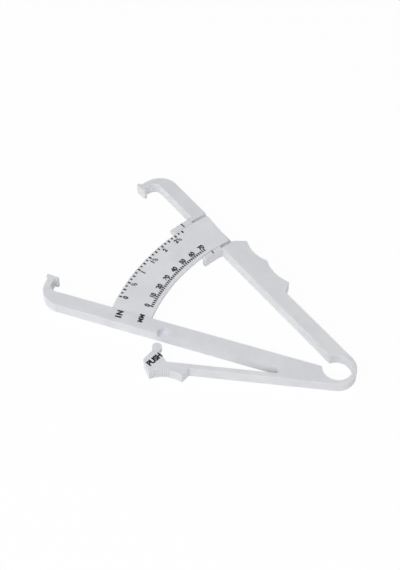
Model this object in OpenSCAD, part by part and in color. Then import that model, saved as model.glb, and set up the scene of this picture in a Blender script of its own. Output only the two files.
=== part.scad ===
// Skinfold caliper, lying flat: a spring ring carries a lower arm with a curved
// scale plate, an upper arm that slides over that plate, and a click lever.
// Millimetres and degrees. X runs to the right, Y away from the user, Z up.
// The origin is the centre of the ring's bore, on the underside.
// In the frame of an arm, s runs along it from the ring and u runs across it,
// towards the other arm. In the lever's frame, t runs away from the lower arm.

/* [Ring and arms] */
// Thickness of the ring, the arms and the jaws
thickness = 6.0; // [4.5:0.1:9]
// Radius of the bore in the spring ring
bore_radius = 7.15; // [5:0.05:9]
// Wall of the spring ring
ring_wall = 2.05; // [1.4:0.05:3]
// Width of each arm
arm_width = 7.6; // [5.5:0.1:9]
// Direction of the lower arm
lower_angle = 160.27; // [159:0.01:162]
// Direction of the upper arm with the jaws open
upper_angle = 126.27; // [124:0.01:127]
// Bending centre of the ring, from the bore's centre, to the right
pivot_x = 1.6; // [0:0.1:3]
// Bending centre of the ring, from the bore's centre, to the back
pivot_y = 1.2; // [0:0.1:3]
// Radius round the bending centre where the arms leave the ring
hub_radius = 12.0; // [11:0.1:16]

/* [Jaws] */
// Distance of the lower pad from the bending centre
lower_reach = 149.0; // [140:0.1:165]
// Distance of the upper pad from the bending centre
upper_reach = 150.7; // [140:0.1:165]
// Direction of the lower pad's face, seen from the bending centre
lower_face_angle = 158.1; // [157.8:0.01:158.6]
// Angle that the upper arm turns through until the two faces meet
closing_angle = 28.15; // [27:0.01:29]
// Length of a pad's face
pad_length = 6.4; // [4:0.1:9]
// Thickness of a pad
pad_thickness = 1.8; // [1:0.1:3]
// Width of the neck behind a pad
neck_width = 3.2; // [2.4:0.1:5]
// Distance of the neck's outer side beyond the pad's middle
neck_offset = 2.0; // [1:0.1:2.6]
// Outer radius of the bend between arm and neck
bend_radius = 10.5; // [8:0.1:13]
// Inner radius of that bend
fillet_radius = 4.0; // [2:0.1:5]

/* [Scale plate] */
// Outer radius of the scale plate, round the bending centre
plate_outer = 113.8; // [104:0.1:122]
// Width of the scale plate
plate_width = 20.5; // [16:0.1:24]
// Thickness of the scale plate
plate_thickness = 1.75; // [1.2:0.05:2.5]
// Direction of the plate's free end
plate_end_angle = 122.8; // [122.4:0.05:127.3]
// Height of the printed marks above the face
mark_height = 0.1; // [0.05:0.01:0.2]
// Distance from the bending centre at which the jaws read true
reading_radius = 150.0; // [140:0.5:160]
// Last millimetre mark
last_millimetre = 70; // [50:2:72]
// Last eighth of an inch
last_eighth = 22; // [16:1:22]
// Width of a millimetre mark
mark_width = 0.65; // [0.3:0.05:0.8]
// Width of an inch mark
inch_mark_width = 0.75; // [0.3:0.05:0.9]
// Width of an index mark on the guide
index_width = 0.5; // [0.3:0.05:0.8]
// Length of the marks for whole quarters of an inch
quarter_mark = 1.5; // [1.2:0.05:2.4]
// Length of the marks for odd eighths of an inch
eighth_mark = 1.05; // [0.8:0.05:2]
// Distance of the inch marks from the plate's outer edge
inch_margin = 0.6; // [0.3:0.05:1.2]
// Length of the marks for every tenth millimetre
tenth_mark = 1.75; // [1.2:0.05:2.4]
// Length of the other millimetre marks
fine_mark = 1.45; // [0.8:0.05:2]
// Distance of the millimetre marks from the plate's inner edge
millimetre_margin = 1.75; // [0.3:0.05:2.4]

/* [Guide] */
// Gap between the scale plate and the bed below it
slide_gap = 0.3; // [0.2:0.05:0.5]
// Gap between the plate's edges and the wing and rail
side_gap = 0.2; // [0.15:0.05:0.4]
// Angle by which wing and rail reach out past the upper arm's direction
guide_reach = 7.3; // [5:0.1:9]
// Width of the outer wing
wing_width = 3.4; // [2:0.1:4]
// Thickness of the outer wing
wing_thickness = 2.0; // [1.5:0.1:3]
// Width of the inner rail
rail_width = 2.3; // [1.8:0.1:4]
// Gap between the plate's outer edge and the end wall of the jaw arm
wall_gap = 1.5; // [0.5:0.1:2]
// Angle past the arm's direction at which that gap ends
slit_reach = 1.1; // [0.8:0.1:2]
// Gap between the plate's inner edge and the handle's end face
handle_gap = 1.7; // [0.5:0.1:2.5]

/* [Finger grip] */
// Height of the grip's ridges above the arm's outer side
grip_height = 5.5; // [3:0.1:8]
// Length of the slope between the last ridge and the handle's end face
grip_corner = 4.2; // [3:0.1:7]
// Length of the hollow next to the guide
last_hollow = 16.4; // [12:0.1:19]
// Length of the hollow next to the ring
first_hollow = 17.6; // [12:0.1:19]
// Length of the slope between the first ridge and the arm
grip_slope = 3.3; // [2:0.1:4]
// Depth of the two finger hollows
hollow_depth = 2.0; // [1:0.1:3]

/* [Click lever] */
// Direction of the lever's beam when it is not pressed
lever_angle = 172.5; // [171:0.01:174]
// Width of the lever's beam
beam_width = 2.6; // [1.8:0.1:3.4]
// Radius of the rounded end of the slot between beam and arm
slot_radius = 1.65; // [1.2:0.05:2]
// Angle that the lever turns through when it is pressed home
press_angle = 9.5; // [8:0.1:10]
// Radius of the click ball
ball_radius = 2.4; // [1.5:0.05:2.6]
// Room round the ball in its socket
socket_gap = 0.3; // [0.2:0.05:0.5]
// Height of the underside of ball and neck
ball_base = 3.1; // [2.6:0.1:3.6]
// Distance of the socket along the lower arm
socket_along = 83.9; // [78:0.1:88]
// Distance of the socket's centre inside the arm's outer side
socket_depth = 2.1; // [1.5:0.1:2.6]
// Width of the ball's neck
ball_neck = 3.6; // [2:0.1:4]
// Distance between the ball's centre and the full-height part of the pad
ball_reach = 2.9; // [2.8:0.1:3.6]
// Length of the thumb pad
thumb_length = 22.0; // [18:0.1:24]
// Height of the thumb pad beyond the beam
thumb_height = 4.25; // [3:0.05:6]
// Depth of the hollow for the thumb
thumb_hollow = 2.1; // [1.5:0.1:3]
// Distance of the pad's far corner past the ball's centre
thumb_corner = 5.3; // [4:0.1:6]
// Distance along the beam from the pad's start to its inner corner
thumb_shoulder = 11.1; // [8:0.1:13]
// Length of the pad's slope before the hollow
near_slope = 2.8; // [2:0.1:4]
// Length of the pad's slope after the hollow
far_slope = 3.8; // [2:0.1:4]
// Thickness of the ridged strip in that hollow
rest_thickness = 0.8; // [0.5:0.1:1.2]
// Distance between two ridges of the strip
ridge_pitch = 1.0; // [0.8:0.05:1.2]
// Part of the strip that has ridges, from its far end
ridge_share = 0.6; // [0.4:0.05:0.95]

/* [Hidden] */
$fn = 96;
far = 220;
ring_radius = bore_radius + ring_wall;
arm_inner = ring_radius - arm_width;
pivot = [pivot_x, pivot_y];
upper_face_angle = lower_face_angle - closing_angle;
plate_inner = plate_outer - plate_width;
neck_top = 9;
bed_top = thickness - plate_thickness - slide_gap;
wing_inner = plate_outer + side_gap;
rail_outer = plate_inner - side_gap;
wall_radius = plate_outer + wall_gap;
guide_front = upper_angle + guide_reach;
handle_end = plate_inner - handle_gap;
grip_last = handle_end - grip_corner;
grip_middle = grip_last - last_hollow;
grip_first = grip_middle - first_hollow;
inch = 25.4;
degrees_per_mm = atan(1 / reading_radius);
zero_angle = lower_face_angle;
index_angle = upper_face_angle;

function dir(a) = [cos(a), sin(a)];
function normal(a) = [-sin(a), cos(a)];
function along(a, p) = p * dir(a);
function across(a, p) = p * normal(a);
function turned(p, c, a) =
    c + along(-a, p - c) * [1, 0] + across(-a, p - c) * [0, 1];
// crossing of two lines with directions a and b, that pass the origin at p and q
function crossing(a, p, b, q) =
    p * normal(a) + (q - p * cos(a - b)) / sin(a - b) * dir(a);
// radius of the arc over a chord, from the chord and the depth
function arc_radius(chord, depth) = (chord * chord / 4 + depth * depth) / (2 * depth);

throat = crossing(lower_angle, arm_inner, upper_angle, -arm_inner);
lower_pad_s = along(lower_angle, pivot + lower_reach * dir(lower_face_angle));
upper_pad_s = along(upper_angle, pivot + upper_reach * dir(upper_face_angle));
beam_top = ring_radius - beam_width;
fork_corner = crossing(lower_angle, ring_radius, lever_angle, ring_radius);
slot_corner = crossing(lower_angle, ring_radius, lever_angle, beam_top);
slot_half = (lever_angle - lower_angle) / 2;
slot_centre = slot_corner + slot_radius / sin(slot_half) * dir(lower_angle + slot_half);
slot_s = along(lever_angle, slot_centre);
socket = socket_along * dir(lower_angle) + (ring_radius - socket_depth) * normal(lower_angle);
socket_radius = ball_radius + socket_gap;
ball = turned(socket, slot_centre, press_angle);
ball_s = along(lever_angle, ball);
ball_t = across(lever_angle, ball);
thumb_top = ball_t + ball_reach;
thumb_end = ball_s + thumb_corner;
thumb_start = thumb_end - thumb_length;
thumb_low = ring_radius + thumb_height;
rest_start = thumb_start + near_slope;
rest_end = thumb_end - far_slope;
rest_radius = arc_radius(rest_end - rest_start, thumb_hollow);
rest_centre = [(rest_start + rest_end) / 2, thumb_low - thumb_hollow + rest_radius];
rest_half = asin((rest_end - rest_start) / 2 / rest_radius);
ridge_step = ridge_pitch / rest_radius * 180 / PI;
ridge_count = floor(2 * rest_half * ridge_share / ridge_step);
shell = [0.91, 0.92, 0.93];
ink = [0.1, 0.1, 0.11];

// ---- frames and cutting shapes ----

module in_lower() {
    rotate(lower_angle)
        mirror([0, 1, 0])
            children();
}

module in_upper() {
    rotate(upper_angle)
        children();
}

module in_lever() {
    rotate(lever_angle)
        children();
}

// strip of an arm from the ring's tangent point to the distance s_end
module arm_strip(s_start, s_end) {
    translate([s_start, -ring_radius])
        square([s_end - s_start, arm_width]);
}

// everything on the outer side of an arm's inner edge
module behind_edge() {
    translate([-far, -far - arm_inner])
        square([2 * far, far]);
}

// disc round the bending centre
module turning_disc(radius) {
    translate(pivot)
        circle(radius);
}

// part of a flat ring round the bending centre, between two directions
module band(inner, outer, start, end) {
    translate(pivot)
        intersection() {
            difference() {
                circle(outer);
                circle(inner);
            }
            polygon([[0, 0], far * dir(start), far * dir(end)]);
        }
}

// bar along a radius of the bending centre
module radial_bar(angle, inner, outer, width) {
    translate(pivot)
        rotate(angle)
            translate([inner, -width / 2])
                square([outer - inner, width]);
}

// ---- the ring, the lower arm and its jaw ----

module spring_ring() {
    color(shell)
        linear_extrude(thickness)
            difference() {
                union() {
                    circle(ring_radius);
                    intersection() {
                        union() {
                            in_lower() arm_strip(0, 3 * hub_radius);
                            in_upper() arm_strip(0, 3 * hub_radius);
                        }
                        turning_disc(hub_radius);
                    }
                }
                circle(bore_radius);
                polygon([throat, throat + far * dir(lower_angle), throat + far * dir(upper_angle)]);
            }
}

module lower_arm() {
    color(shell)
        difference() {
            linear_extrude(thickness)
                difference() {
                    in_lower() arm_strip(0, lower_pad_s + neck_offset - bend_radius);
                    turning_disc(hub_radius);
                }
            translate([0, 0, ball_base - slide_gap])
                linear_extrude(thickness)
                    socket_shape();
        }
}

// round socket that is open to the arm's outer side
module socket_shape() {
    translate(socket)
        circle(socket_radius);
    translate(socket)
        rotate(lower_angle)
            translate([-socket_radius, 0])
                square([2 * socket_radius, 2 * socket_radius]);
}

// solid wedge between arm and beam, up to the rounded end of the slot
module fork_block() {
    color(shell)
        linear_extrude(thickness)
            difference() {
                polygon([
                    fork_corner,
                    crossing(lever_angle, ring_radius, lever_angle + 90, -slot_s),
                    crossing(lower_angle, ring_radius, lever_angle + 90, -slot_s)
                ]);
                translate(slot_centre)
                    circle(slot_radius);
                polygon([
                    slot_centre,
                    slot_centre - slot_radius * normal(lower_angle),
                    slot_centre - slot_radius * normal(lower_angle) + slot_radius * dir(lower_angle),
                    slot_centre + slot_radius * normal(lever_angle) + slot_radius * dir(lever_angle),
                    slot_centre + slot_radius * normal(lever_angle)
                ]);
            }
}

// jaw in the frame of its arm: a bend of the arm that ends in a straight neck
module jaw_outline(pad_s) {
    bend_start = pad_s + neck_offset - bend_radius;
    neck_inner = pad_s + neck_offset - neck_width;
    bend_u = bend_radius - ring_radius;
    difference() {
        union() {
            intersection() {
                translate([bend_start, bend_u])
                    circle(bend_radius);
                translate([bend_start, -ring_radius])
                    square([bend_radius, bend_radius]);
            }
            translate([neck_inner, bend_u])
                square([neck_width, neck_top - bend_u]);
        }
        translate([bend_start, fillet_radius - arm_inner])
            square([neck_inner - bend_start, 2 * neck_top]);
        translate([bend_start, -arm_inner])
            square([neck_inner - fillet_radius - bend_start, 2 * neck_top]);
        translate([neck_inner - fillet_radius, fillet_radius - arm_inner])
            circle(fillet_radius);
    }
}

// everything from a pad's back towards the other jaw; side is 1 or -1
module before_pad_back(face_angle, side) {
    translate(pivot)
        rotate(face_angle)
            translate([0, side > 0 ? pad_thickness - far : -pad_thickness])
                square([far, far]);
}

module jaw_pad(face_angle, reach, side) {
    linear_extrude(thickness)
        translate(pivot)
            rotate(face_angle)
                translate([reach - pad_length / 2, side > 0 ? 0 : -pad_thickness])
                    square([pad_length, pad_thickness]);
}

module lower_jaw() {
    color(shell)
        linear_extrude(thickness)
            difference() {
                in_lower() jaw_outline(lower_pad_s);
                before_pad_back(lower_face_angle, 1);
            }
}

module lower_jaw_pad() {
    color(shell)
        jaw_pad(lower_face_angle, lower_reach, 1);
}

// ---- the scale ----

module scale_plate() {
    color(shell)
        translate([0, 0, thickness - plate_thickness])
            linear_extrude(plate_thickness)
                difference() {
                    band(plate_inner, plate_outer, plate_end_angle, lower_angle + 10);
                    in_lower() behind_edge();
                }
}

// marks of every eighth of an inch along the plate's outer edge
module inch_scale() {
    color(ink)
        translate([0, 0, thickness])
            linear_extrude(mark_height)
                for (i = [0 : last_eighth])
                    radial_bar(
                        zero_angle - i * inch / 8 * degrees_per_mm,
                        plate_outer - inch_margin - (i % 2 == 0 ? quarter_mark : eighth_mark),
                        plate_outer - inch_margin,
                        inch_mark_width
                    );
}

// marks of every second millimetre along the plate's inner edge
module millimetre_scale() {
    color(ink)
        translate([0, 0, thickness])
            linear_extrude(mark_height)
                for (i = [0 : 2 : last_millimetre])
                    radial_bar(
                        zero_angle - i * degrees_per_mm,
                        plate_inner + millimetre_margin,
                        plate_inner + millimetre_margin + (i % 10 == 0 ? tenth_mark : fine_mark),
                        mark_width
                    );
}

// ---- the upper arm with its grip and guide ----

module handle_arm() {
    color(shell)
        linear_extrude(thickness)
            difference() {
                in_upper() arm_strip(0, handle_end);
                turning_disc(hub_radius);
            }
}

// hollow between two ridges of the grip
module finger_hollow(start, end) {
    radius = arc_radius(end - start, hollow_depth);
    translate([(start + end) / 2, -ring_radius - grip_height + hollow_depth - radius])
        circle(radius);
}

module finger_grip() {
    color(shell)
        linear_extrude(thickness)
            in_upper()
                difference() {
                    polygon([
                        [grip_first - grip_slope, -ring_radius],
                        [grip_first, -ring_radius - grip_height],
                        [grip_last, -ring_radius - grip_height],
                        [handle_end, -ring_radius]
                    ]);
                    finger_hollow(grip_first, grip_middle);
                    finger_hollow(grip_middle, grip_last);
                }
}

// floor of the recess that the scale plate runs through
module guide_bed() {
    color(shell)
        linear_extrude(bed_top)
            intersection() {
                in_upper() arm_strip(handle_end, far);
                turning_disc(wall_radius);
            }
}

module inner_guide_rail() {
    color(shell)
        linear_extrude(thickness)
            difference() {
                band(rail_outer - rail_width, rail_outer, upper_angle - 5, guide_front);
                in_upper() behind_edge();
            }
}

module outer_guide_wing() {
    color(shell)
        translate([0, 0, thickness - wing_thickness])
            linear_extrude(wing_thickness)
                difference() {
                    band(wing_inner, wing_inner + wing_width, upper_angle - 5, guide_front);
                    turning_slit();
                    in_upper() behind_edge();
                }
}

// clearance slot between the plate's outer edge and the jaw arm
module turning_slit() {
    band(rail_outer, wall_radius, upper_angle - 6, upper_angle + slit_reach);
}

module inner_index_mark() {
    color(ink)
        translate([0, 0, thickness])
            linear_extrude(mark_height)
                radial_bar(
                    index_angle,
                    rail_outer - rail_width + side_gap,
                    rail_outer,
                    index_width
                );
}

module outer_index_mark() {
    color(ink)
        translate([0, 0, thickness])
            linear_extrude(mark_height)
                radial_bar(
                    index_angle,
                    wing_inner + side_gap,
                    wing_inner + wing_width - side_gap,
                    index_width
                );
}

module upper_jaw_arm() {
    color(shell)
        linear_extrude(thickness)
            difference() {
                in_upper() arm_strip(handle_end, upper_pad_s + neck_offset - bend_radius);
                turning_disc(wall_radius);
            }
}

module upper_jaw() {
    color(shell)
        linear_extrude(thickness)
            difference() {
                in_upper() jaw_outline(upper_pad_s);
                before_pad_back(upper_face_angle, -1);
            }
}

module upper_jaw_pad() {
    color(shell)
        jaw_pad(upper_face_angle, upper_reach, -1);
}

// ---- the click lever ----

module lever_beam() {
    color(shell)
        linear_extrude(thickness)
            in_lever()
                translate([slot_s, beam_top])
                    square([thumb_start - slot_s, beam_width]);
}

module thumb_outline() {
    polygon([
        [thumb_start, beam_top],
        [thumb_start, ring_radius],
        [rest_start, thumb_low],
        [rest_end, thumb_low],
        [thumb_end, beam_top],
        [ball_s + 0.9 * ball_radius, thumb_top],
        [ball_s - 0.85 * ball_radius, thumb_top],
        [thumb_start + thumb_shoulder, beam_top]
    ]);
}

module thumb_pad() {
    color(shell)
        linear_extrude(thickness)
            in_lever()
                difference() {
                    thumb_outline();
                    translate(rest_centre)
                        circle(rest_radius + rest_thickness);
                }
}

// ridged strip that lines the hollow for the thumb
module thumb_rest() {
    color(shell)
        linear_extrude(thickness)
            in_lever()
                difference() {
                    intersection() {
                        thumb_outline();
                        translate(rest_centre)
                            circle(rest_radius + rest_thickness);
                    }
                    translate(rest_centre)
                        circle(rest_radius);
                    for (i = [0 : ridge_count])
                        translate(rest_centre)
                            rotate(270 + rest_half - (i + 0.5) * ridge_step)
                                translate([rest_radius, 0])
                                    circle(ridge_pitch * 0.3);
                }
}

module click_ball() {
    color(shell)
        translate([0, 0, ball_base])
            linear_extrude(thickness - ball_base)
                in_lever() {
                    translate([ball_s, ball_t])
                        circle(ball_radius);
                    translate([ball_s - ball_neck / 2, ball_t])
                        square([ball_neck, ball_reach]);
                }
}

spring_ring();
lower_arm();
fork_block();
lower_jaw();
lower_jaw_pad();
scale_plate();
inch_scale();
millimetre_scale();
handle_arm();
finger_grip();
guide_bed();
inner_guide_rail();
outer_guide_wing();
inner_index_mark();
outer_index_mark();
upper_jaw_arm();
upper_jaw();
upper_jaw_pad();
lever_beam();
thumb_pad();
thumb_rest();
click_ball();
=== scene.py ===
from math import acos, asin, atan2, ceil, cos, degrees, hypot, radians, sin, sqrt

import bmesh
import bpy
from mathutils import Euler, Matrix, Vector


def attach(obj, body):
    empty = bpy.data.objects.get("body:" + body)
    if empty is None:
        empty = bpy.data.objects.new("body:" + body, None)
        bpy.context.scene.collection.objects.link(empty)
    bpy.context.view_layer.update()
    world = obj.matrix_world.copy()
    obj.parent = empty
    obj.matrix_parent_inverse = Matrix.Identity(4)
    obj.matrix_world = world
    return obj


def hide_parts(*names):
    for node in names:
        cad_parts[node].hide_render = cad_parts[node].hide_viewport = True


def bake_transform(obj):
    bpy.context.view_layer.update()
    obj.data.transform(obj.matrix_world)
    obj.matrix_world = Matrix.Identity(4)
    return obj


# Skinfold caliper: one white moulding with black printed scales. The plan is drawn in
# millimetres, in the same frame as the solids, and every piece is extruded from its outline.

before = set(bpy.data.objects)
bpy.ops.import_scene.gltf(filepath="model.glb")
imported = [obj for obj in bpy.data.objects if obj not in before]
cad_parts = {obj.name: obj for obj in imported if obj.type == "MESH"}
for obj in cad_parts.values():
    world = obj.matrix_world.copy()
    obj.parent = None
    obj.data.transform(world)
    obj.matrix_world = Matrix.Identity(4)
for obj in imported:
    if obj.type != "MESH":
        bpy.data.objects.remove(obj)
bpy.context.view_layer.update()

MM = 0.001

# ---- sizes in millimetres and directions in degrees, as in the solids ----

THICKNESS = 6.0
BORE_RADIUS = 7.15
RING_RADIUS = 9.2
ARM_INNER = 1.6
LOWER_ANGLE = 160.27
UPPER_ANGLE = 126.27
PIVOT = Vector((1.6, 1.2))

LOWER_REACH = 149.0
UPPER_REACH = 150.7
LOWER_FACE_ANGLE = 158.1
UPPER_FACE_ANGLE = 129.95
PAD_LENGTH = 6.4
PAD_THICKNESS = 1.8
NECK_WIDTH = 3.2
NECK_OFFSET = 2.0
BEND_RADIUS = 10.5
FILLET_RADIUS = 4.0

PLATE_INNER = 93.3
PLATE_OUTER = 113.8
PLATE_THICKNESS = 1.75
PLATE_END_ANGLE = 122.8
READING_RADIUS = 150.0

BED_TOP = 3.95
GUIDE_FRONT = UPPER_ANGLE + 7.3
WING_INNER = 114.0
WING_OUTER = 117.4
WING_THICKNESS = 2.0
RAIL_INNER = 90.8
RAIL_OUTER = 93.1
WALL_RADIUS = 115.3
SLIT_ANGLE = UPPER_ANGLE + 1.1
HANDLE_END = 91.6

GRIP_HEIGHT = 5.5
GRIP_RIDGES = (53.4, 71.0, 87.4)
GRIP_SLOPE = 3.3
HOLLOW_DEPTH = 2.0

LEVER_ANGLE = 172.5
BEAM_TOP = 6.6
SLOT_RADIUS = 1.65
SLOT_CENTRE = Vector((-28.785, -1.203))
SOCKET = Vector((-81.371, 21.641))
SOCKET_RADIUS = 2.7
SOCKET_FLOOR = 2.8
BALL_RADIUS = 2.4
BALL_BASE = 3.1
BALL_NECK = 3.6
BALL_S = 85.349
BALL_T = -1.521
THUMB_TOP = 1.379
THUMB_START = 68.649
THUMB_END = 90.649
THUMB_SHOULDER = 11.1
THUMB_LOW = 13.45
REST_START = 71.449
REST_END = 86.849
REST_DEPTH = 2.1
RIDGE_PITCH = 1.0
RIDGE_SHARE = 0.6
GROOVE_RADIUS = 0.3

# ---- softened edges and corners of the moulding ----

# Width of the softened rims; the plate and what it slides in are a little softer
RIM = 0.12
SLIDING_RIM = 0.15
BALL_RIM = 0.3

# Lengths taken off the sides of the plan's corners
THROAT_CORNER = 0.45
PAD_CORNER = 0.45
NECK_CORNER = 0.4
PLATE_CORNER = 0.5
RAIL_CORNER = 0.5
WING_CORNER = 0.5
WING_INNER_CORNER = 0.4
SLIT_CORNER = 0.3
GRIP_BASE_CORNER = 0.3
GRIP_END_CORNER = 0.7
GRIP_MIDDLE_CORNER = 0.5
THUMB_SHOULDER_CORNER = 0.35
THUMB_NECK_CORNER = 0.3
THUMB_FAR_CORNER = 0.4
THUMB_LOW_CORNER = 0.25
BEAM_CORNER = 0.5

# ---- how finely the shapes are drawn ----

ARC_ERROR = 0.004
CORNER_STEPS = 4
RIM_STEPS = 3
BEAM_STEPS = 24
SOCKET_SIDES = 64
SMOOTH_ANGLE = 38
FLAT_FACE_WEIGHT = 80

# How close a point has to be to count as the same, or as lying on a corner, seam or height
SAME_POINT = 0.02
NEAR_CORNER = 0.03
NEAR_SEAM = 0.02
NEAR_ARC = 0.03
NEAR_HEIGHT = 0.01
# A seam's test reaches past its ends by this share of its length, and by this much on the ring
SEAM_REACH = 0.002
RING_SEAM_REACH = 0.3


# ---- points of the plan ----

def heading(angle):
    return Vector((cos(radians(angle)), sin(radians(angle))))


def side(angle):
    return Vector((-sin(radians(angle)), cos(radians(angle))))


def low(s, u):
    """A point s along the lower arm and u across it, towards the upper arm."""
    return s * heading(LOWER_ANGLE) - u * side(LOWER_ANGLE)


def upp(s, u):
    """A point s along the upper arm and u across it, towards the lower arm."""
    return s * heading(UPPER_ANGLE) + u * side(UPPER_ANGLE)


def lev(s, t):
    """A point s along the lever and t across it, away from the lower arm."""
    return s * heading(LEVER_ANGLE) + t * side(LEVER_ANGLE)


def pol(radius, angle):
    """A point round the bending centre."""
    return PIVOT + radius * heading(angle)


def bearing(point):
    """Direction of a point from the bending centre."""
    d = point - PIVOT
    return degrees(atan2(d.y, d.x))


def along_edge(place, u, radius):
    """Distance along an arm at which its edge is that far from the bending centre."""
    start = place(0, u) - PIVOT
    step = place(1, u) - place(0, u)
    half = start.dot(step)
    return -half + sqrt(half * half - start.dot(start) + radius * radius)


def arc_radius(chord, depth):
    return (chord * chord / 4 + depth * depth) / (2 * depth)


LOWER_PAD_S = pol(LOWER_REACH, LOWER_FACE_ANGLE).dot(heading(LOWER_ANGLE))
UPPER_PAD_S = pol(UPPER_REACH, UPPER_FACE_ANGLE).dot(heading(UPPER_ANGLE))
LOWER_JAW_S = LOWER_PAD_S + NECK_OFFSET - BEND_RADIUS
UPPER_JAW_S = UPPER_PAD_S + NECK_OFFSET - BEND_RADIUS
BEND_U = BEND_RADIUS - RING_RADIUS
SLOT_S = SLOT_CENTRE.dot(heading(LEVER_ANGLE))
THROAT_S = sqrt(BORE_RADIUS ** 2 - ARM_INNER ** 2)
THROAT_TURN = degrees(asin(ARM_INNER / BORE_RADIUS))
REST_RADIUS = arc_radius(REST_END - REST_START, REST_DEPTH)
REST_TURN = 2 * degrees(asin((REST_END - REST_START) / 2 / REST_RADIUS))
REST_CENTRE = lev((REST_START + REST_END) / 2, THUMB_LOW - REST_DEPTH + REST_RADIUS)


# ---- selecting and drawing ----

def deselect_all():
    bpy.ops.object.select_all(action="DESELECT")


def pick(obj):
    """Makes one object the only selected and the active one."""
    deselect_all()
    obj.select_set(True)
    bpy.context.view_layer.objects.active = obj


def select_where(obj, kind, test):
    """In edit mode, selects the vertices, edges or faces whose vertices all pass a test."""
    bpy.ops.mesh.select_mode(type=kind)
    bpy.ops.mesh.select_all(action="DESELECT")
    mesh = bmesh.from_edit_mesh(obj.data)
    for item in {"VERT": mesh.verts, "EDGE": mesh.edges, "FACE": mesh.faces}[kind]:
        corners = [item] if kind == "VERT" else item.verts
        item.select = all(test(v.co / MM) for v in corners)
    mesh.select_flush_mode()
    bmesh.update_edit_mesh(obj.data)


def line_to(point):
    return ("line", point)


def lines_to(start, end, count):
    """A straight stroke in several equal steps, for a piece that bends."""
    return [("line", start.lerp(end, i / count)) for i in range(1, count + 1)]


def turn_about(centre, angle):
    return ("turn", centre, angle)


def draw_outline(name, start, strokes):
    """Draws a closed outline from one vertex, extruded in lines and spun in arcs."""
    deselect_all()
    bpy.ops.mesh.primitive_plane_add(size=MM, location=(start.x * MM, start.y * MM, 0))
    obj = bpy.context.object
    obj.name = name
    obj.data.name = name
    bpy.ops.object.transform_apply(location=True, rotation=False, scale=False)
    bpy.ops.object.mode_set(mode="EDIT")
    bpy.ops.mesh.select_mode(type="VERT")
    bpy.ops.mesh.merge(type="CENTER")
    here = start
    for stroke in strokes:
        if stroke[0] == "line":
            step = (stroke[1] - here) * MM
            bpy.ops.mesh.extrude_region_move(
                TRANSFORM_OT_translate={"value": (step.x, step.y, 0)}
            )
            here = stroke[1]
        else:
            centre, angle = stroke[1], stroke[2]
            arm = here - centre
            # no step leaves the true arc by more than the allowed error
            finest = 2 * degrees(acos(1 - ARC_ERROR / arm.length))
            steps = max(3, ceil(abs(angle) / finest))
            # the operator turns clockwise for a positive angle
            bpy.ops.mesh.spin(
                steps=steps,
                angle=-radians(angle),
                center=(centre.x * MM, centre.y * MM, 0),
                axis=(0, 0, 1),
            )
            there = heading(degrees(atan2(arm.y, arm.x)) + angle) * arm.length
            here = centre + there
    bpy.ops.mesh.select_all(action="SELECT")
    bpy.ops.mesh.remove_doubles(threshold=SAME_POINT * MM)
    bpy.ops.mesh.edge_face_add()
    return obj


def soften_corners(obj, corners):
    """Rounds corners of the flat outline, each a point and the length taken off its sides."""
    for point, length in corners:
        select_where(
            obj, "VERT", lambda co, p=point: hypot(co.x - p.x, co.y - p.y) < NEAR_CORNER
        )
        bpy.ops.mesh.bevel(offset=length * MM, segments=CORNER_STEPS, affect="VERTICES")


def raise_outline(obj, bottom, top):
    """Lifts the flat outline to the piece's underside and extrudes it to its top."""
    bpy.ops.mesh.select_all(action="SELECT")
    bpy.ops.transform.translate(value=(0, 0, bottom * MM))
    bpy.ops.mesh.extrude_region_move(
        TRANSFORM_OT_translate={"value": (0, 0, (top - bottom) * MM)}
    )
    bpy.ops.mesh.select_all(action="SELECT")
    bpy.ops.mesh.normals_make_consistent(inside=False)


def on_line(a, b):
    """A test for points of a straight seam between two neighbours."""
    d = b - a

    def test(co):
        p = Vector((co.x, co.y)) - a
        share = p.dot(d) / d.dot(d)
        off = abs(p.x * d.y - p.y * d.x) / d.length
        return -SEAM_REACH < share < 1 + SEAM_REACH and off < NEAR_SEAM

    return test


def on_arc(radius):
    """A test for points of a seam that curves round the bending centre."""
    return lambda co: abs(hypot(co.x - PIVOT.x, co.y - PIVOT.y) - radius) < NEAR_ARC


def soften_rim(obj, height, seams, width):
    """Rounds the rim at a height, but not along the seams where a neighbour goes on."""
    select_where(obj, "EDGE", lambda co: abs(co.z - height) < NEAR_HEIGHT)
    mesh = bmesh.from_edit_mesh(obj.data)
    for edge in mesh.edges:
        a, b = (v.co / MM for v in edge.verts)
        if any(seam(a) and seam(b) for seam in seams):
            edge.select = False
    mesh.select_flush_mode()
    bmesh.update_edit_mesh(obj.data)
    bpy.ops.mesh.bevel(
        offset=width * MM, segments=RIM_STEPS, affect="EDGES", clamp_overlap=True, profile=0.5
    )


def leave_edit_mode():
    bpy.ops.object.mode_set(mode="OBJECT")


def apply_modifier(obj, name, kind, **settings):
    pick(obj)
    modifier = obj.modifiers.new(name, kind)
    for key, value in settings.items():
        setattr(modifier, key, value)
    bpy.ops.object.modifier_apply(modifier=modifier.name)


def smooth_faces(obj):
    """Smooth shading over the soft edges, with the large flat faces kept flat."""
    pick(obj)
    bpy.ops.object.shade_smooth_by_angle(angle=radians(SMOOTH_ANGLE))
    apply_modifier(
        obj, "flat faces", "WEIGHTED_NORMAL", keep_sharp=True, weight=FLAT_FACE_WEIGHT
    )


def moulded_slab(
    name, start, strokes, bottom=0.0, top=THICKNESS, corners=(), seams=(),
    top_seams=(), bottom_seams=(), rim=RIM, bottom_rim=RIM,
):
    """A flat moulded piece: outline, softened corners, thickness and softened rims."""
    obj = draw_outline(name, start, strokes)
    soften_corners(obj, corners)
    raise_outline(obj, bottom, top)
    soften_rim(obj, top, [*seams, *top_seams], rim)
    soften_rim(obj, bottom, [*seams, *bottom_seams], bottom_rim)
    leave_edit_mode()
    return obj


# ---- materials ----

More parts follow.
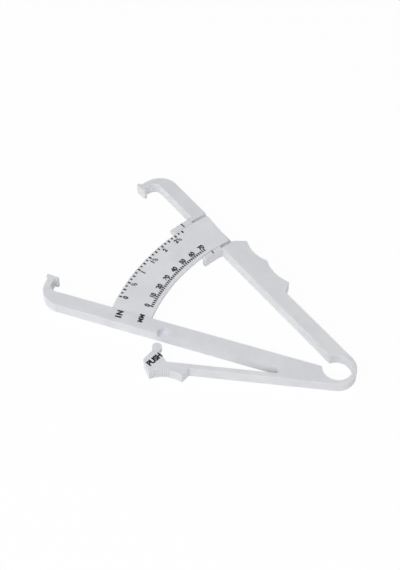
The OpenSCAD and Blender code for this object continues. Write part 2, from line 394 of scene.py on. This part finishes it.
def srgb(code):
    """Linear colour from an sRGB hex value."""
    channels = [int(code[i:i + 2], 16) / 255 for i in (1, 3, 5)]
    linear = [c / 12.92 if c <= 0.04045 else ((c + 0.055) / 1.055) ** 2.4 for c in channels]
    return (*linear, 1.0)


def add_node(tree, kind, settings=None, links=None):
    """Adds a node, sets its properties and sockets, and links sockets from other nodes."""
    node = tree.nodes.new(kind)
    for key, value in (settings or {}).items():
        if isinstance(key, int) or key in node.inputs:
            node.inputs[key].default_value = value
        else:
            setattr(node, key, value)
    for socket, (source, output) in (links or {}).items():
        tree.links.new(source.outputs[output], node.inputs[socket])
    return node


def start_material(name):
    material = bpy.data.materials.new(name)
    material.use_nodes = True
    material.node_tree.nodes.clear()
    return material, material.node_tree


def ramp_between(tree, source, output, low_stop, low_colour, high_stop, high_colour):
    ramp = add_node(tree, "ShaderNodeValToRGB", links={"Fac": (source, output)})
    ramp.color_ramp.elements[0].position = low_stop
    ramp.color_ramp.elements[0].color = low_colour
    ramp.color_ramp.elements[1].position = high_stop
    ramp.color_ramp.elements[1].color = high_colour
    return ramp


def grey(value):
    return (value, value, value, 1.0)


def make_white_abs(name, dark, light):
    """Injection-moulded white ABS: slightly cool, satin, with a faint waviness of the tool's
    polish, fine mould grain and very slight clouding of the pigment."""
    material, tree = start_material(name)
    place = add_node(tree, "ShaderNodeTexCoord")
    # clouding of the pigment, about 14 mm wide
    cloud = add_node(
        tree, "ShaderNodeTexNoise",
        {"Scale": 1 / (14 * MM), "Detail": 3.0, "Roughness": 0.55},
        {"Vector": (place, "Object")},
    )
    tint = ramp_between(tree, cloud, "Fac", 0.35, srgb(dark), 0.65, srgb(light))
    # satin patches left by the tool, about 5 mm wide
    patch = add_node(
        tree, "ShaderNodeTexNoise",
        {"Scale": 1 / (5 * MM), "Detail": 4.0, "Roughness": 0.6},
        {"Vector": (place, "Object")},
    )
    gloss = ramp_between(tree, patch, "Fac", 0.3, grey(0.34), 0.7, grey(0.46))
    # waviness of the polished tool, about 2.5 mm, and mould grain, drawn at 0.35 mm
    wave = add_node(
        tree, "ShaderNodeTexNoise",
        {"Scale": 1 / (2.5 * MM), "Detail": 1.0},
        {"Vector": (place, "Object")},
    )
    grain = add_node(
        tree, "ShaderNodeTexNoise",
        {"Scale": 1 / (0.35 * MM), "Detail": 2.0, "Roughness": 0.5},
        {"Vector": (place, "Object")},
    )
    soft_bump = add_node(
        tree, "ShaderNodeBump", {"Strength": 0.12, "Distance": 0.05 * MM},
        {"Height": (wave, "Fac")},
    )
    bump = add_node(
        tree, "ShaderNodeBump", {"Strength": 0.05, "Distance": 0.02 * MM},
        {"Height": (grain, "Fac"), "Normal": (soft_bump, "Normal")},
    )
    shader = add_node(
        tree, "ShaderNodeBsdfPrincipled",
        {"IOR": 1.54, "Subsurface Weight": 0.25, "Subsurface Scale": 1.0 * MM},
        {
            "Base Color": (tint, "Color"),
            "Roughness": (gloss, "Color"),
            "Normal": (bump, "Normal"),
        },
    )
    shader.inputs["Subsurface Radius"].default_value = (1.0, 0.95, 0.9)
    add_node(tree, "ShaderNodeOutputMaterial", links={"Surface": (shader, "BSDF")})
    return material


def make_black_print():
    """Pad-printed black ink: matt, dense, with slightly thin spots where the pad lifted."""
    material, tree = start_material("pad_printed_black_ink")
    place = add_node(tree, "ShaderNodeTexCoord")
    # thin spots of the ink, about 0.5 mm wide
    spots = add_node(
        tree, "ShaderNodeTexNoise",
        {"Scale": 1 / (0.5 * MM), "Detail": 3.0, "Roughness": 0.6},
        {"Vector": (place, "Object")},
    )
    tint = ramp_between(tree, spots, "Fac", 0.4, srgb("#141517"), 0.75, srgb("#2C2D30"))
    bump = add_node(
        tree, "ShaderNodeBump", {"Strength": 0.15, "Distance": 0.02 * MM},
        {"Height": (spots, "Fac")},
    )
    shader = add_node(
        tree, "ShaderNodeBsdfPrincipled",
        {"IOR": 1.5, "Roughness": 0.62},
        {"Base Color": (tint, "Color"), "Normal": (bump, "Normal")},
    )
    add_node(tree, "ShaderNodeOutputMaterial", links={"Surface": (shader, "BSDF")})
    return material


WHITE_ABS = make_white_abs("injection_moulded_white_abs", "#E4E6EA", "#ECEDEF")
# the same plastic painted paler: painted light standing for the table's light that comes
# through where it is 1.75 mm thin
PAINTED_LIGHT_WHITE_ABS = make_white_abs("white_abs_with_painted_light_through", "#E9EBEF", "#F1F2F4")
BLACK_PRINT = make_black_print()


def settle(obj, material, slot, body, *nodes):
    """Gives a finished piece its material and its body, and hides the solids it stands for; its
    slot is not used.
    """
    obj.data.materials.clear()
    obj.data.materials.append(material)
    if body:
        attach(obj, body)
    if nodes:
        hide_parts(*nodes)


# ---- the ring and the lower arm ----

LOOP_START = LEVER_ANGLE + 90
LOOP_END = UPPER_ANGLE - 90 + 360


def seam_across_ring(angle):
    inner, outer = BORE_RADIUS - RING_SEAM_REACH, RING_RADIUS + RING_SEAM_REACH
    return on_line(inner * heading(angle), outer * heading(angle))


def make_ring_loop():
    """The thin half of the spring ring, which bends on the real caliper when the arms close; it
    is drawn unbent.
    """
    sweep = LOOP_END - LOOP_START
    loop = moulded_slab(
        "sprung_ring_loop",
        RING_RADIUS * heading(LOOP_START),
        [
            turn_about(Vector((0, 0)), sweep),
            line_to(BORE_RADIUS * heading(LOOP_END)),
            turn_about(Vector((0, 0)), -sweep),
            line_to(RING_RADIUS * heading(LOOP_START)),
        ],
        seams=[seam_across_ring(LOOP_START), seam_across_ring(LOOP_END)],
    )
    smooth_faces(loop)
    settle(loop, WHITE_ABS, "white_abs", None, "spring_ring")
    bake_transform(loop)


def make_lower_arm():
    """The lower arm with the fork's solid wedge and the socket for the click ball."""
    plate_near = low(along_edge(low, -ARM_INNER, PLATE_INNER), -ARM_INNER)
    plate_far = low(along_edge(low, -ARM_INNER, PLATE_OUTER), -ARM_INNER)
    jaw_inner, jaw_outer = low(LOWER_JAW_S, -ARM_INNER), low(LOWER_JAW_S, -RING_RADIUS)
    slot_arm = SLOT_CENTRE - SLOT_RADIUS * side(LOWER_ANGLE)
    slot_beam, beam_low = lev(SLOT_S, BEAM_TOP), lev(SLOT_S, RING_RADIUS)
    throat = low(THROAT_S, -ARM_INNER)
    arm = moulded_slab(
        "long_lower_arm",
        throat,
        [
            line_to(plate_near),
            line_to(plate_far),
            line_to(jaw_inner),
            line_to(jaw_outer),
            line_to(slot_arm),
            turn_about(SLOT_CENTRE, LEVER_ANGLE - LOWER_ANGLE - 180),
            line_to(slot_beam),
            line_to(beam_low),
            line_to(RING_RADIUS * heading(LOOP_START)),
            line_to(BORE_RADIUS * heading(LOOP_START)),
            turn_about(Vector((0, 0)), LOWER_ANGLE + THROAT_TURN - LOOP_START),
            line_to(throat),
        ],
        corners=[(throat, THROAT_CORNER)],
        seams=[
            on_line(jaw_inner, jaw_outer),
            on_line(slot_beam, beam_low),
            seam_across_ring(LOOP_START),
        ],
        top_seams=[on_line(plate_near, plate_far)],
    )
    cut_socket(arm)
    smooth_faces(arm)
    settle(arm, WHITE_ABS, "white_abs", "scale_arm", "lower_arm", "fork_block")


def cut_socket(arm):
    """Cuts the round socket, open at the top and at the arm's outer side."""
    deselect_all()
    # the cutter goes this far past the arm's top and past its side
    above, beyond = 2, 1
    depth = THICKNESS - SOCKET_FLOOR + above
    bpy.ops.mesh.primitive_cylinder_add(
        vertices=SOCKET_SIDES, radius=SOCKET_RADIUS * MM, depth=depth * MM,
        location=(SOCKET.x * MM, SOCKET.y * MM, (SOCKET_FLOOR + depth / 2) * MM),
        rotation=(0, 0, radians(LOWER_ANGLE)),
    )
    cutter = bpy.context.object
    bpy.ops.object.transform_apply(location=True, rotation=True, scale=True)
    bpy.ops.object.mode_set(mode="EDIT")
    # the outer half of the cutter is drawn out past the arm's side
    outward = side(LOWER_ANGLE)
    select_where(
        cutter, "FACE",
        lambda co: (Vector((co.x, co.y)) - SOCKET).dot(outward) > -NEAR_HEIGHT,
    )
    step = outward * (SOCKET_RADIUS + beyond) * MM
    bpy.ops.mesh.extrude_region_move(TRANSFORM_OT_translate={"value": (step.x, step.y, 0)})
    leave_edit_mode()
    apply_modifier(
        arm, "socket", "BOOLEAN", operation="DIFFERENCE", object=cutter, solver="EXACT"
    )
    bpy.data.objects.remove(cutter, do_unlink=True)


def jaw_neck(place, face_angle, s, back):
    """Distance across the arm at which the neck's side meets the back of its pad."""
    start, step = place(s, 0), place(s, 1) - place(s, 0)
    square = side(face_angle)
    return (back - (start - PIVOT).dot(square)) / step.dot(square)


def make_jaw(name, place, face_angle, reach, pad_s, jaw_s, turn, body, *nodes):
    """A jaw: the arm bends into a neck that carries a flat pad. turn is 1 or -1."""
    def pad(r, y):
        return pol(reach, face_angle) + (r - reach) * heading(face_angle) + y * side(face_angle)

    back = -turn * PAD_THICKNESS
    far, near = reach + PAD_LENGTH / 2, reach - PAD_LENGTH / 2
    outer_s, inner_s = pad_s + NECK_OFFSET, pad_s + NECK_OFFSET - NECK_WIDTH
    fillet_s, fillet_u = inner_s - FILLET_RADIUS, FILLET_RADIUS - ARM_INNER
    outer_neck = place(outer_s, jaw_neck(place, face_angle, outer_s, back))
    inner_neck = place(inner_s, jaw_neck(place, face_angle, inner_s, back))
    seam_out, seam_in = place(jaw_s, -RING_RADIUS), place(jaw_s, -ARM_INNER)
    pad_corners = [pad(far, back), pad(far, 0), pad(near, 0), pad(near, back)]
    strokes = [
        turn_about(place(jaw_s, BEND_U), turn * 90),
        line_to(outer_neck),
        *(line_to(corner) for corner in pad_corners),
        line_to(inner_neck),
        line_to(place(inner_s, fillet_u)),
        turn_about(place(fillet_s, fillet_u), -turn * 90),
        line_to(seam_in),
        line_to(seam_out),
    ]
    jaw = moulded_slab(
        name, seam_out, strokes,
        corners=[
            *((corner, PAD_CORNER) for corner in pad_corners),
            (outer_neck, NECK_CORNER),
            (inner_neck, NECK_CORNER),
        ],
        seams=[on_line(seam_in, seam_out)],
    )
    smooth_faces(jaw)
    settle(jaw, WHITE_ABS, "white_abs", body, *nodes)


# ---- the scale plate ----

def make_scale_plate():
    """The thin curved plate that carries both scales."""
    near = low(along_edge(low, -ARM_INNER, PLATE_INNER), -ARM_INNER)
    far = low(along_edge(low, -ARM_INNER, PLATE_OUTER), -ARM_INNER)
    outer_end, inner_end = pol(PLATE_OUTER, PLATE_END_ANGLE), pol(PLATE_INNER, PLATE_END_ANGLE)
    plate = moulded_slab(
        "curved_scale_plate", outer_end,
        [
            turn_about(PIVOT, bearing(far) - PLATE_END_ANGLE),
            line_to(near),
            turn_about(PIVOT, PLATE_END_ANGLE - bearing(near)),
            line_to(outer_end),
        ],
        bottom=THICKNESS - PLATE_THICKNESS,
        corners=[(outer_end, PLATE_CORNER), (inner_end, PLATE_CORNER)],
        seams=[on_line(near, far)],
        rim=SLIDING_RIM, bottom_rim=SLIDING_RIM,
    )
    smooth_faces(plate)
    # the plate gets the copy with painted light, paler than the rest of the moulding
    settle(plate, PAINTED_LIGHT_WHITE_ABS, "white_abs", "scale_arm", "scale_plate")


# ---- the upper arm ----

def make_handle():
    """The upper arm from the ring to the guide, with the finger grip and the inner rail."""
    throat = upp(THROAT_S, -ARM_INNER)
    first, middle, last = GRIP_RIDGES
    peak = -RING_RADIUS - GRIP_HEIGHT
    base = upp(first - GRIP_SLOPE, -RING_RADIUS)
    end_out, end_in = upp(HANDLE_END, -RING_RADIUS), upp(HANDLE_END, -ARM_INNER)
    rail_out = upp(along_edge(upp, -ARM_INNER, RAIL_OUTER), -ARM_INNER)
    rail_in = upp(along_edge(upp, -ARM_INNER, RAIL_INNER), -ARM_INNER)

    def hollow(start, stop):
        radius = arc_radius(stop - start, HOLLOW_DEPTH)
        centre = upp((start + stop) / 2, peak + HOLLOW_DEPTH - radius)
        return turn_about(centre, -2 * degrees(asin((stop - start) / 2 / radius)))

    handle = moulded_slab(
        "gripped_handle", throat,
        [
            turn_about(Vector((0, 0)), LOOP_END - 360 - (UPPER_ANGLE - THROAT_TURN)),
            line_to(RING_RADIUS * heading(LOOP_END)),
            line_to(base),
            line_to(upp(first, peak)),
            hollow(first, middle),
            hollow(middle, last),
            line_to(end_out),
            line_to(end_in),
            line_to(rail_out),
            turn_about(PIVOT, GUIDE_FRONT - bearing(rail_out)),
            line_to(pol(RAIL_INNER, GUIDE_FRONT)),
            turn_about(PIVOT, bearing(rail_in) - GUIDE_FRONT),
            line_to(throat),
        ],
        corners=[
            (throat, THROAT_CORNER),
            (base, GRIP_BASE_CORNER),
            (upp(first, peak), GRIP_END_CORNER),
            (upp(middle, peak), GRIP_MIDDLE_CORNER),
            (upp(last, peak), GRIP_END_CORNER),
            (pol(RAIL_OUTER, GUIDE_FRONT), RAIL_CORNER),
            (pol(RAIL_INNER, GUIDE_FRONT), RAIL_CORNER),
            (rail_in, RAIL_CORNER),
        ],
        seams=[seam_across_ring(LOOP_END)],
        bottom_seams=[on_line(end_out, end_in), on_line(end_in, rail_out)],
    )
    smooth_faces(handle)
    settle(
        handle, WHITE_ABS, "white_abs", "slide_arm",
        "handle_arm", "finger_grip", "inner_guide_rail",
    )


def make_guide_bed():
    """The floor of the recess that the scale plate runs through."""
    start = upp(HANDLE_END, -RING_RADIUS)
    wall_out = upp(along_edge(upp, -RING_RADIUS, WALL_RADIUS), -RING_RADIUS)
    wall_in = upp(along_edge(upp, -ARM_INNER, WALL_RADIUS), -ARM_INNER)
    end_in = upp(HANDLE_END, -ARM_INNER)
    bed = moulded_slab(
        "guide_floor", start,
        [
            line_to(wall_out),
            turn_about(PIVOT, bearing(wall_in) - bearing(wall_out)),
            line_to(end_in),
            line_to(start),
        ],
        top=BED_TOP,
        seams=[on_line(start, end_in), on_arc(WALL_RADIUS)],
        rim=SLIDING_RIM,
    )
    smooth_faces(bed)
    settle(bed, WHITE_ABS, "white_abs", "slide_arm", "guide_bed")


def make_outer_wing():
    """The thin wing outside the plate's outer edge, with the slit at its root."""
    root_out = upp(along_edge(upp, -ARM_INNER, WING_OUTER), -ARM_INNER)
    root_in = upp(along_edge(upp, -ARM_INNER, WALL_RADIUS), -ARM_INNER)
    wing = moulded_slab(
        "thin_guide_wing", root_out,
        [
            turn_about(PIVOT, GUIDE_FRONT - bearing(root_out)),
            line_to(pol(WING_INNER, GUIDE_FRONT)),
            turn_about(PIVOT, SLIT_ANGLE - GUIDE_FRONT),
            line_to(pol(WALL_RADIUS, SLIT_ANGLE)),
            turn_about(PIVOT, bearing(root_in) - SLIT_ANGLE),
            line_to(root_out),
        ],
        bottom=THICKNESS - WING_THICKNESS,
        corners=[
            (pol(WING_OUTER, GUIDE_FRONT), WING_CORNER),
            (pol(WING_INNER, GUIDE_FRONT), WING_INNER_CORNER),
            (pol(WING_INNER, SLIT_ANGLE), SLIT_CORNER),
            (pol(WALL_RADIUS, SLIT_ANGLE), SLIT_CORNER),
        ],
        seams=[on_line(root_in, root_out)],
        rim=SLIDING_RIM, bottom_rim=SLIDING_RIM,
    )
    smooth_faces(wing)
    settle(wing, WHITE_ABS, "white_abs", "slide_arm", "outer_guide_wing")


def make_jaw_arm():
    """The upper arm beyond the guide."""
    wall_out = upp(along_edge(upp, -RING_RADIUS, WALL_RADIUS), -RING_RADIUS)
    wall_in = upp(along_edge(upp, -ARM_INNER, WALL_RADIUS), -ARM_INNER)
    wing_out = upp(along_edge(upp, -ARM_INNER, WING_OUTER), -ARM_INNER)
    jaw_out, jaw_in = upp(UPPER_JAW_S, -RING_RADIUS), upp(UPPER_JAW_S, -ARM_INNER)
    arm = moulded_slab(
        "jaw_end_of_upper_arm", wall_out,
        [
            line_to(jaw_out),
            line_to(jaw_in),
            line_to(wing_out),
            line_to(wall_in),
            turn_about(PIVOT, bearing(wall_out) - bearing(wall_in)),
        ],
        seams=[on_line(jaw_out, jaw_in)],
        top_seams=[on_line(wing_out, wall_in)],
        bottom_seams=[on_arc(WALL_RADIUS)],
    )
    smooth_faces(arm)
    settle(arm, WHITE_ABS, "white_abs", "slide_arm", "upper_jaw_arm")


# ---- the click lever ----

def make_lever_beam():
    """The thin beam, which bends on the real lever when the thumb pad is pressed; it is drawn
    unbent.
    """
    start, end = lev(SLOT_S, BEAM_TOP), lev(THUMB_START, BEAM_TOP)
    low_start, low_end = lev(SLOT_S, RING_RADIUS), lev(THUMB_START, RING_RADIUS)
    beam = moulded_slab(
        "bending_lever_beam", start,
        [
            *lines_to(start, end, BEAM_STEPS),
            line_to(low_end),
            *lines_to(low_end, low_start, BEAM_STEPS),
            line_to(start),
        ],
        seams=[on_line(start, low_start), on_line(end, low_end)],
    )
    smooth_faces(beam)
    settle(beam, WHITE_ABS, "white_abs", None, "lever_beam")
    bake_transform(beam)


def ridged_hollow():
    """The hollow's outline from its far end, with half round grooves between its ridges."""
    step = degrees(RIDGE_PITCH / REST_RADIUS)
    groove_turn = 2 * degrees(asin(GROOVE_RADIUS / 2 / REST_RADIUS))
    far_angle = LEVER_ANGLE - 90 + REST_TURN / 2
    strokes = []
    reached = 0
    for i in range(int(REST_TURN * RIDGE_SHARE / step) + 1):
        middle = (i + 0.5) * step
        strokes.append(turn_about(REST_CENTRE, -(middle - groove_turn - reached)))
        groove = REST_CENTRE + REST_RADIUS * heading(far_angle - middle)
        strokes.append(turn_about(groove, -(180 + groove_turn)))
        reached = middle + groove_turn
    strokes.append(turn_about(REST_CENTRE, -(REST_TURN - reached)))
    return strokes


def make_thumb_pad():
    """The diamond shaped pad with its ridged hollow for the thumb."""
    near_neck = lev(BALL_S - 0.85 * BALL_RADIUS, THUMB_TOP)
    far_neck = lev(BALL_S + 0.9 * BALL_RADIUS, THUMB_TOP)
    shoulder = lev(THUMB_START + THUMB_SHOULDER, BEAM_TOP)
    far_corner = lev(THUMB_END, BEAM_TOP)
    low_far, low_near = lev(REST_END, THUMB_LOW), lev(REST_START, THUMB_LOW)
    start, beam_low = lev(THUMB_START, BEAM_TOP), lev(THUMB_START, RING_RADIUS)
    pad = moulded_slab(
        "ridged_thumb_pad", start,
        [
            line_to(shoulder),
            line_to(near_neck),
            line_to(far_neck),
            line_to(far_corner),
            line_to(low_far),
            *ridged_hollow(),
            line_to(beam_low),
            line_to(start),
        ],
        corners=[
            (shoulder, THUMB_SHOULDER_CORNER),
            (near_neck, THUMB_NECK_CORNER),
            (far_neck, THUMB_NECK_CORNER),
            (far_corner, THUMB_FAR_CORNER),
            (low_far, THUMB_LOW_CORNER),
            (low_near, THUMB_LOW_CORNER),
            (beam_low, BEAM_CORNER),
        ],
        seams=[on_line(start, beam_low)],
    )
    smooth_faces(pad)
    settle(pad, WHITE_ABS, "white_abs", "click_lever", "thumb_pad", "thumb_rest")


def make_click_ball():
    """The disc shaped ball on its neck."""
    half = BALL_NECK / 2
    rise = sqrt(BALL_RADIUS ** 2 - half ** 2)
    open_turn = 2 * degrees(asin(half / BALL_RADIUS))
    start, end = lev(BALL_S - half, THUMB_TOP), lev(BALL_S + half, THUMB_TOP)
    ball = moulded_slab(
        "ball_and_neck", start,
        [
            line_to(lev(BALL_S - half, BALL_T + rise)),
            turn_about(lev(BALL_S, BALL_T), 360 - open_turn),
            line_to(end),
            line_to(start),
        ],
        bottom=BALL_BASE,
        seams=[on_line(start, end)],
        rim=BALL_RIM,
    )
    smooth_faces(ball)
    settle(ball, WHITE_ABS, "white_abs", "click_lever", "click_ball")


# ---- the print ----

DEGREES_PER_MM = degrees(atan2(1, READING_RADIUS))

# Half the thickness of the ink
HALF_INK = 0.02
# A capital or digit of the font is this share of its size high
CAPITAL_SHARE = 0.7

# Middles of the numbers: distance from the bending centre, and turn from their marks
MILLIMETRE_NUMBERS_AT = 98.1
MILLIMETRE_NUMBERS_TURN = 0.1
INCH_NUMBERS_AT = 109.75
INCH_NUMBERS_TURN = -0.15
HALF_SIGNS_AT = 109.8
# The inch numbers stand a little closer together than their marks
HALF_INCH_STEP = 4.71
# A whole number goes this far aside for the half sign after it, which goes a little less
WHOLE_SHIFT = 0.95
HALF_SIGN_SHIFT_SHARE = 0.9
NUMBER_SHAPE = {"stretch": 0.86, "weight": 0.05}

# The half sign: the size of its digits as a share of a number's height, and how far up,
# down and along the scale they stand from the bar's middle
HALF_DIGIT = 0.62
HALF_DIGIT_RISE = 0.45
HALF_ONE_ALONG = 0.62
HALF_TWO_ALONG = 0.68
HALF_DIGIT_SHAPE = {"stretch": 0.95, "weight": 0.045}
HALF_BAR_SHAPE = {"stretch": 0.9, "weight": 0.02}


def print_text(text, spot, angle, height, stretch=1.0, weight=0.0, spacing=1.0):
    """One printed word as a mesh: its middle at a spot, reading along an angle."""
    deselect_all()
    bpy.ops.object.text_add(location=(0, 0, 0))
    obj = bpy.context.object
    obj.data.body = text
    obj.data.align_x = "CENTER"
    obj.data.align_y = "CENTER"
    obj.data.size = 1.0
    obj.data.offset = weight
    obj.data.space_character = spacing
    obj.data.extrude = HALF_INK
    bpy.ops.object.convert(target="MESH")
    obj = bpy.context.object
    bpy.ops.object.mode_set(mode="EDIT")
    bpy.ops.mesh.select_all(action="SELECT")
    # in the font's own size, where a line is 1 high
    bpy.ops.mesh.remove_doubles(threshold=0.0002)
    bpy.ops.mesh.normals_make_consistent(inside=False)
    leave_edit_mode()
    scale = height / CAPITAL_SHARE * MM
    obj.scale = (scale * stretch, scale, MM)
    obj.rotation_euler = (0, 0, radians(angle))
    obj.location = (spot.x * MM, spot.y * MM, (THICKNESS + HALF_INK) * MM)
    bpy.ops.object.transform_apply(location=True, rotation=True, scale=True)
    return obj


def join_print(name, pieces, body):
    deselect_all()
    for piece in pieces:
        piece.select_set(True)
    bpy.context.view_layer.objects.active = pieces[0]
    if len(pieces) > 1:
        bpy.ops.object.join()
    obj = bpy.context.object
    obj.name = name
    obj.data.name = name
    settle(obj, BLACK_PRINT, "black_print", body)


def scale_text(text, radius, angle, height, **shape):
    """Text on the plate that reads along the scale, with its top to the outer edge."""
    return print_text(text, pol(radius, angle), angle - 90, height, **shape)


def half_sign(radius, angle, height):
    """A small one over a two, with a slanted bar."""
    small = height * HALF_DIGIT
    rise = small * HALF_DIGIT_RISE
    one_turn, two_turn = degrees(HALF_ONE_ALONG / radius), degrees(HALF_TWO_ALONG / radius)
    return [
        scale_text("1", radius + rise, angle + one_turn, small, **HALF_DIGIT_SHAPE),
        scale_text("/", radius, angle, height * 0.95, **HALF_BAR_SHAPE),
        scale_text("2", radius - rise, angle - two_turn, small, **HALF_DIGIT_SHAPE),
    ]


def print_millimetre_numbers():
    """Every tenth millimetre, from 0 to 70."""
    numbers = []
    for value in range(0, 80, 10):
        angle = LOWER_FACE_ANGLE + MILLIMETRE_NUMBERS_TURN - value * DEGREES_PER_MM
        numbers.append(
            scale_text(str(value), MILLIMETRE_NUMBERS_AT, angle, 2.45, **NUMBER_SHAPE)
        )
    join_print("millimetre_numbers", numbers, "scale_arm")


def print_inch_numbers():
    """Every half inch, from 0 to two and a half."""
    height = 2.35
    numbers = []
    for halves in range(6):
        angle = LOWER_FACE_ANGLE + INCH_NUMBERS_TURN - halves * HALF_INCH_STEP
        whole, half = divmod(halves, 2)
        shift = degrees(WHOLE_SHIFT / HALF_SIGNS_AT) if half and whole else 0
        if whole or not half:
            numbers.append(
                scale_text(str(whole), INCH_NUMBERS_AT, angle + shift, height, **NUMBER_SHAPE)
            )
        if half:
            numbers += half_sign(HALF_SIGNS_AT, angle - shift * HALF_SIGN_SHIFT_SHARE, height)
    join_print("inch_numbers", numbers, "scale_arm")


def print_words():
    """The unit letters beside the zeros, and a plain word on the thumb pad."""
    letters = [
        scale_text("IN", 108.9, 163.42, 2.75, stretch=0.95, weight=0.062, spacing=1.3),
        scale_text("MM", 98.0, 163.17, 2.3, stretch=0.92, weight=0.055, spacing=1.14),
    ]
    join_print("unit_letters", letters, "scale_arm")
    word = print_text("PUSH", Vector((-85.35, 5.1)), 46, 2.75, stretch=0.88, weight=0.06)
    join_print("pad_word", [word], "click_lever")


# ---- making the caliper ----

make_ring_loop()
make_lower_arm()
make_jaw(
    "lower_jaw_and_pad", low, LOWER_FACE_ANGLE, LOWER_REACH, LOWER_PAD_S, LOWER_JAW_S, -1,
    "scale_arm", "lower_jaw", "lower_jaw_pad",
)
make_scale_plate()
make_handle()
make_guide_bed()
make_outer_wing()
make_jaw_arm()
make_jaw(
    "upper_jaw_and_pad", upp, UPPER_FACE_ANGLE, UPPER_REACH, UPPER_PAD_S, UPPER_JAW_S, 1,
    "slide_arm", "upper_jaw", "upper_jaw_pad",
)
make_lever_beam()
make_thumb_pad()
make_click_ball()
print_millimetre_numbers()
print_inch_numbers()
print_words()

# the marks of the scales and the index marks are the solids' own, and get the same ink
for name in ("inch_scale", "millimetre_scale", "inner_index_mark", "outer_index_mark"):
    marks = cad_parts[name]
    marks.data.materials.clear()
    marks.data.materials.append(BLACK_PRINT)


# ---- the table, the light and the camera ----

def make_table():
    """A plain white table top, which shows the caliper's faint shadow."""
    deselect_all()
    bpy.ops.mesh.primitive_plane_add(size=6, location=(0, 0, -0.02 * MM))
    table = bpy.context.object
    table.name = "table_top"
    material, tree = start_material("white_table_top")
    plain = add_node(tree, "ShaderNodeBsdfDiffuse", {"Color": srgb("#D8D8D8")})
    white = add_node(tree, "ShaderNodeEmission", {"Color": grey(1.0), "Strength": 1.02})
    path = add_node(tree, "ShaderNodeLightPath")
    seen = add_node(
        tree, "ShaderNodeMath", {"operation": "ADD", "use_clamp": True},
        {0: (path, "Is Camera Ray"), 1: (path, "Is Glossy Ray")},
    )
    seen = add_node(
        tree, "ShaderNodeMath", {"operation": "ADD", "use_clamp": True},
        {0: (seen, "Value"), 1: (path, "Is Transmission Ray")},
    )
    # the eye gets mostly plain white, just over 1 so that the mix is white too, and a trace
    # of the shadow
    share_of_white = 0.94
    both = add_node(
        tree, "ShaderNodeMixShader", {"Fac": share_of_white},
        {1: (plain, "BSDF"), 2: (white, "Emission")},
    )
    mix = add_node(
        tree, "ShaderNodeMixShader",
        links={"Fac": (seen, "Value"), 1: (plain, "BSDF"), 2: (both, "Shader")},
    )
    add_node(tree, "ShaderNodeOutputMaterial", links={"Surface": (mix, "Shader")})
    table.data.materials.append(material)


def make_world():
    """Even studio light; the camera sees plain white behind the table."""
    world = bpy.data.worlds.new("studio")
    bpy.context.scene.world = world
    world.use_nodes = True
    tree = world.node_tree
    tree.nodes.clear()
    # a light tent: its sides are brighter than its roof
    place = add_node(tree, "ShaderNodeTexCoord")
    parts = add_node(tree, "ShaderNodeSeparateXYZ", links={"Vector": (place, "Generated")})
    tent = ramp_between(tree, parts, "Z", 0.0, srgb("#B1B1B2"), 1.0, srgb("#5E5E5F"))
    light = add_node(
        tree, "ShaderNodeBackground", {"Strength": 1.0}, {"Color": (tent, "Color")}
    )
    white = add_node(tree, "ShaderNodeBackground", {"Color": grey(1.0), "Strength": 1.0})
    path = add_node(tree, "ShaderNodeLightPath")
    mix = add_node(
        tree, "ShaderNodeMixShader",
        links={
            "Fac": (path, "Is Camera Ray"),
            1: (light, "Background"),
            2: (white, "Background"),
        },
    )
    add_node(tree, "ShaderNodeOutputWorld", links={"Surface": (mix, "Shader")})


# The lamps are large, square and soft, and all face the middle of the caliper
LAMP_SIZE = 1.4
LAMP_AIM = Vector((-0.08, 0.03, 0))


def make_lamp(name, place, power):
    deselect_all()
    bpy.ops.object.light_add(type="AREA", location=place)
    lamp = bpy.context.object
    lamp.name = name
    lamp.data.shape = "SQUARE"
    lamp.data.size = LAMP_SIZE
    lamp.data.energy = power
    aim = LAMP_AIM - Vector(place)
    lamp.rotation_euler = aim.to_track_quat("-Z", "Y").to_euler()


def make_camera():
    """The photograph's view: above the front edge, looking down at 50 degrees."""
    bpy.ops.object.camera_add(location=(-0.06362, -0.32339, 0.45864))
    camera = bpy.context.object
    camera.name = "camera"
    camera.rotation_euler = Euler((radians(39.5359), radians(0.1784), radians(-0.1705)))
    camera.data.lens = 75.24
    camera.data.sensor_width = 36
    camera.data.clip_start = 0.01
    bpy.context.scene.camera = camera


make_table()
make_world()
make_lamp("left", (-1.36, -0.20, 0.75), 6.3)
make_lamp("front_left", (-0.56, -0.80, 1.15), 13.8)
make_lamp("front_right", (0.92, -0.54, 0.96), 4.6)
make_camera()
bpy.context.scene.view_settings.view_transform = "Standard"
